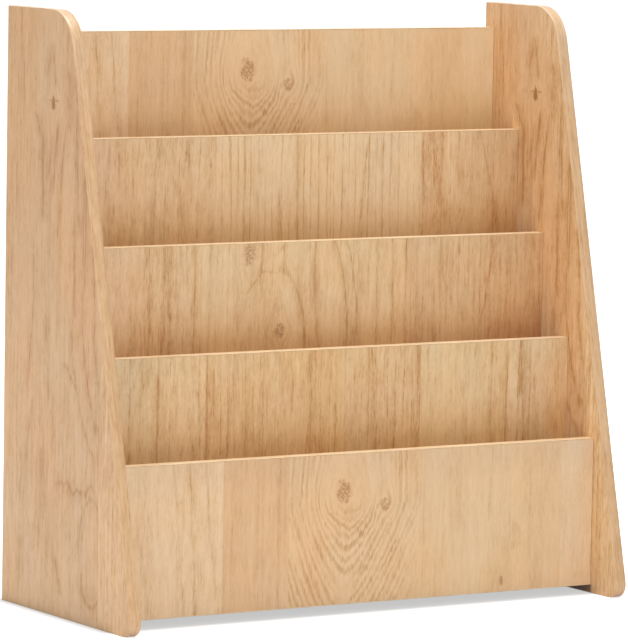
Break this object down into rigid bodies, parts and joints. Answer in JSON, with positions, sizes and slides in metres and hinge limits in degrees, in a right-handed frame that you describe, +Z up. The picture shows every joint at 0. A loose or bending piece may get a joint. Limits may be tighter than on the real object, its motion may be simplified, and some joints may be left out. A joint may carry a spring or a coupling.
{
  "type": "kids ladder bookshelf",
  "caption": "Free-standing children's bookcase: sloped side panels carry oak-look boards that step forward and down like a ladder and form narrow pockets for books shown face out.",
  "frame": {"origin": "on the ground, half way between the side panels and half way between the rear edges and the front of the feet", "axes": "+X to the right of someone who looks at the front, +Y to the rear (the wall side), +Z up; the sloped front faces -Y"},
  "size_m": [0.583, 0.2644, 0.6],
  "materials": {
    "side_oak": "matt oak-look foil with upright grain",
    "upright_oak": "matt oak-look foil with upright grain",
    "floor_oak": "matt oak-look foil",
    "zinc": "cast zinc, satin",
    "steel": "zinc plated",
    "beech": "bare turned wood"
  },
  "bodies": {
    "root": {"side_left": "side_oak", "side_right": "side_oak", "upright_1": "upright_oak", "upright_2": "upright_oak", "upright_3": "upright_oak", "upright_4": "upright_oak", "front_board": "upright_oak", "floor_1": "floor_oak", "floor_2": "floor_oak", "floor_3": "floor_oak", "floor_4": "floor_oak", "cam_1_left": "zinc", "cam_1_right": "zinc", "cam_2_left": "zinc", "cam_2_right": "zinc", "cam_3_left": "zinc", "cam_3_right": "zinc", "cam_4_left": "zinc", "cam_4_right": "zinc", "cam_5_left": "zinc", "cam_5_right": "zinc", "cam_bolt_1_left": "steel", "cam_bolt_1_right": "steel", "cam_bolt_2_left": "steel", "cam_bolt_2_right": "steel", "cam_bolt_3_left": "steel", "cam_bolt_3_right": "steel", "cam_bolt_4_left": "steel", "cam_bolt_4_right": "steel", "cam_bolt_5_left": "steel", "cam_bolt_5_right": "steel", "dowel_1_left": "beech", "dowel_1_right": "beech", "dowel_2_left": "beech", "dowel_2_right": "beech", "dowel_3_left": "beech", "dowel_3_right": "beech", "dowel_4_left": "beech", "dowel_4_right": "beech", "dowel_5_left": "beech", "dowel_5_right": "beech", "floor_dowel_1_left": "beech", "floor_dowel_1_right": "beech", "floor_dowel_2_left": "beech", "floor_dowel_2_right": "beech", "floor_dowel_3_left": "beech", "floor_dowel_3_right": "beech", "floor_dowel_4_left": "beech", "floor_dowel_4_right": "beech", "floor_screw_1_left": "steel", "floor_screw_1_right": "steel", "floor_screw_2_left": "steel", "floor_screw_2_right": "steel", "floor_screw_3_left": "steel", "floor_screw_3_right": "steel", "floor_screw_4_left": "steel", "floor_screw_4_right": "steel"}
  },
  "joints": []
}
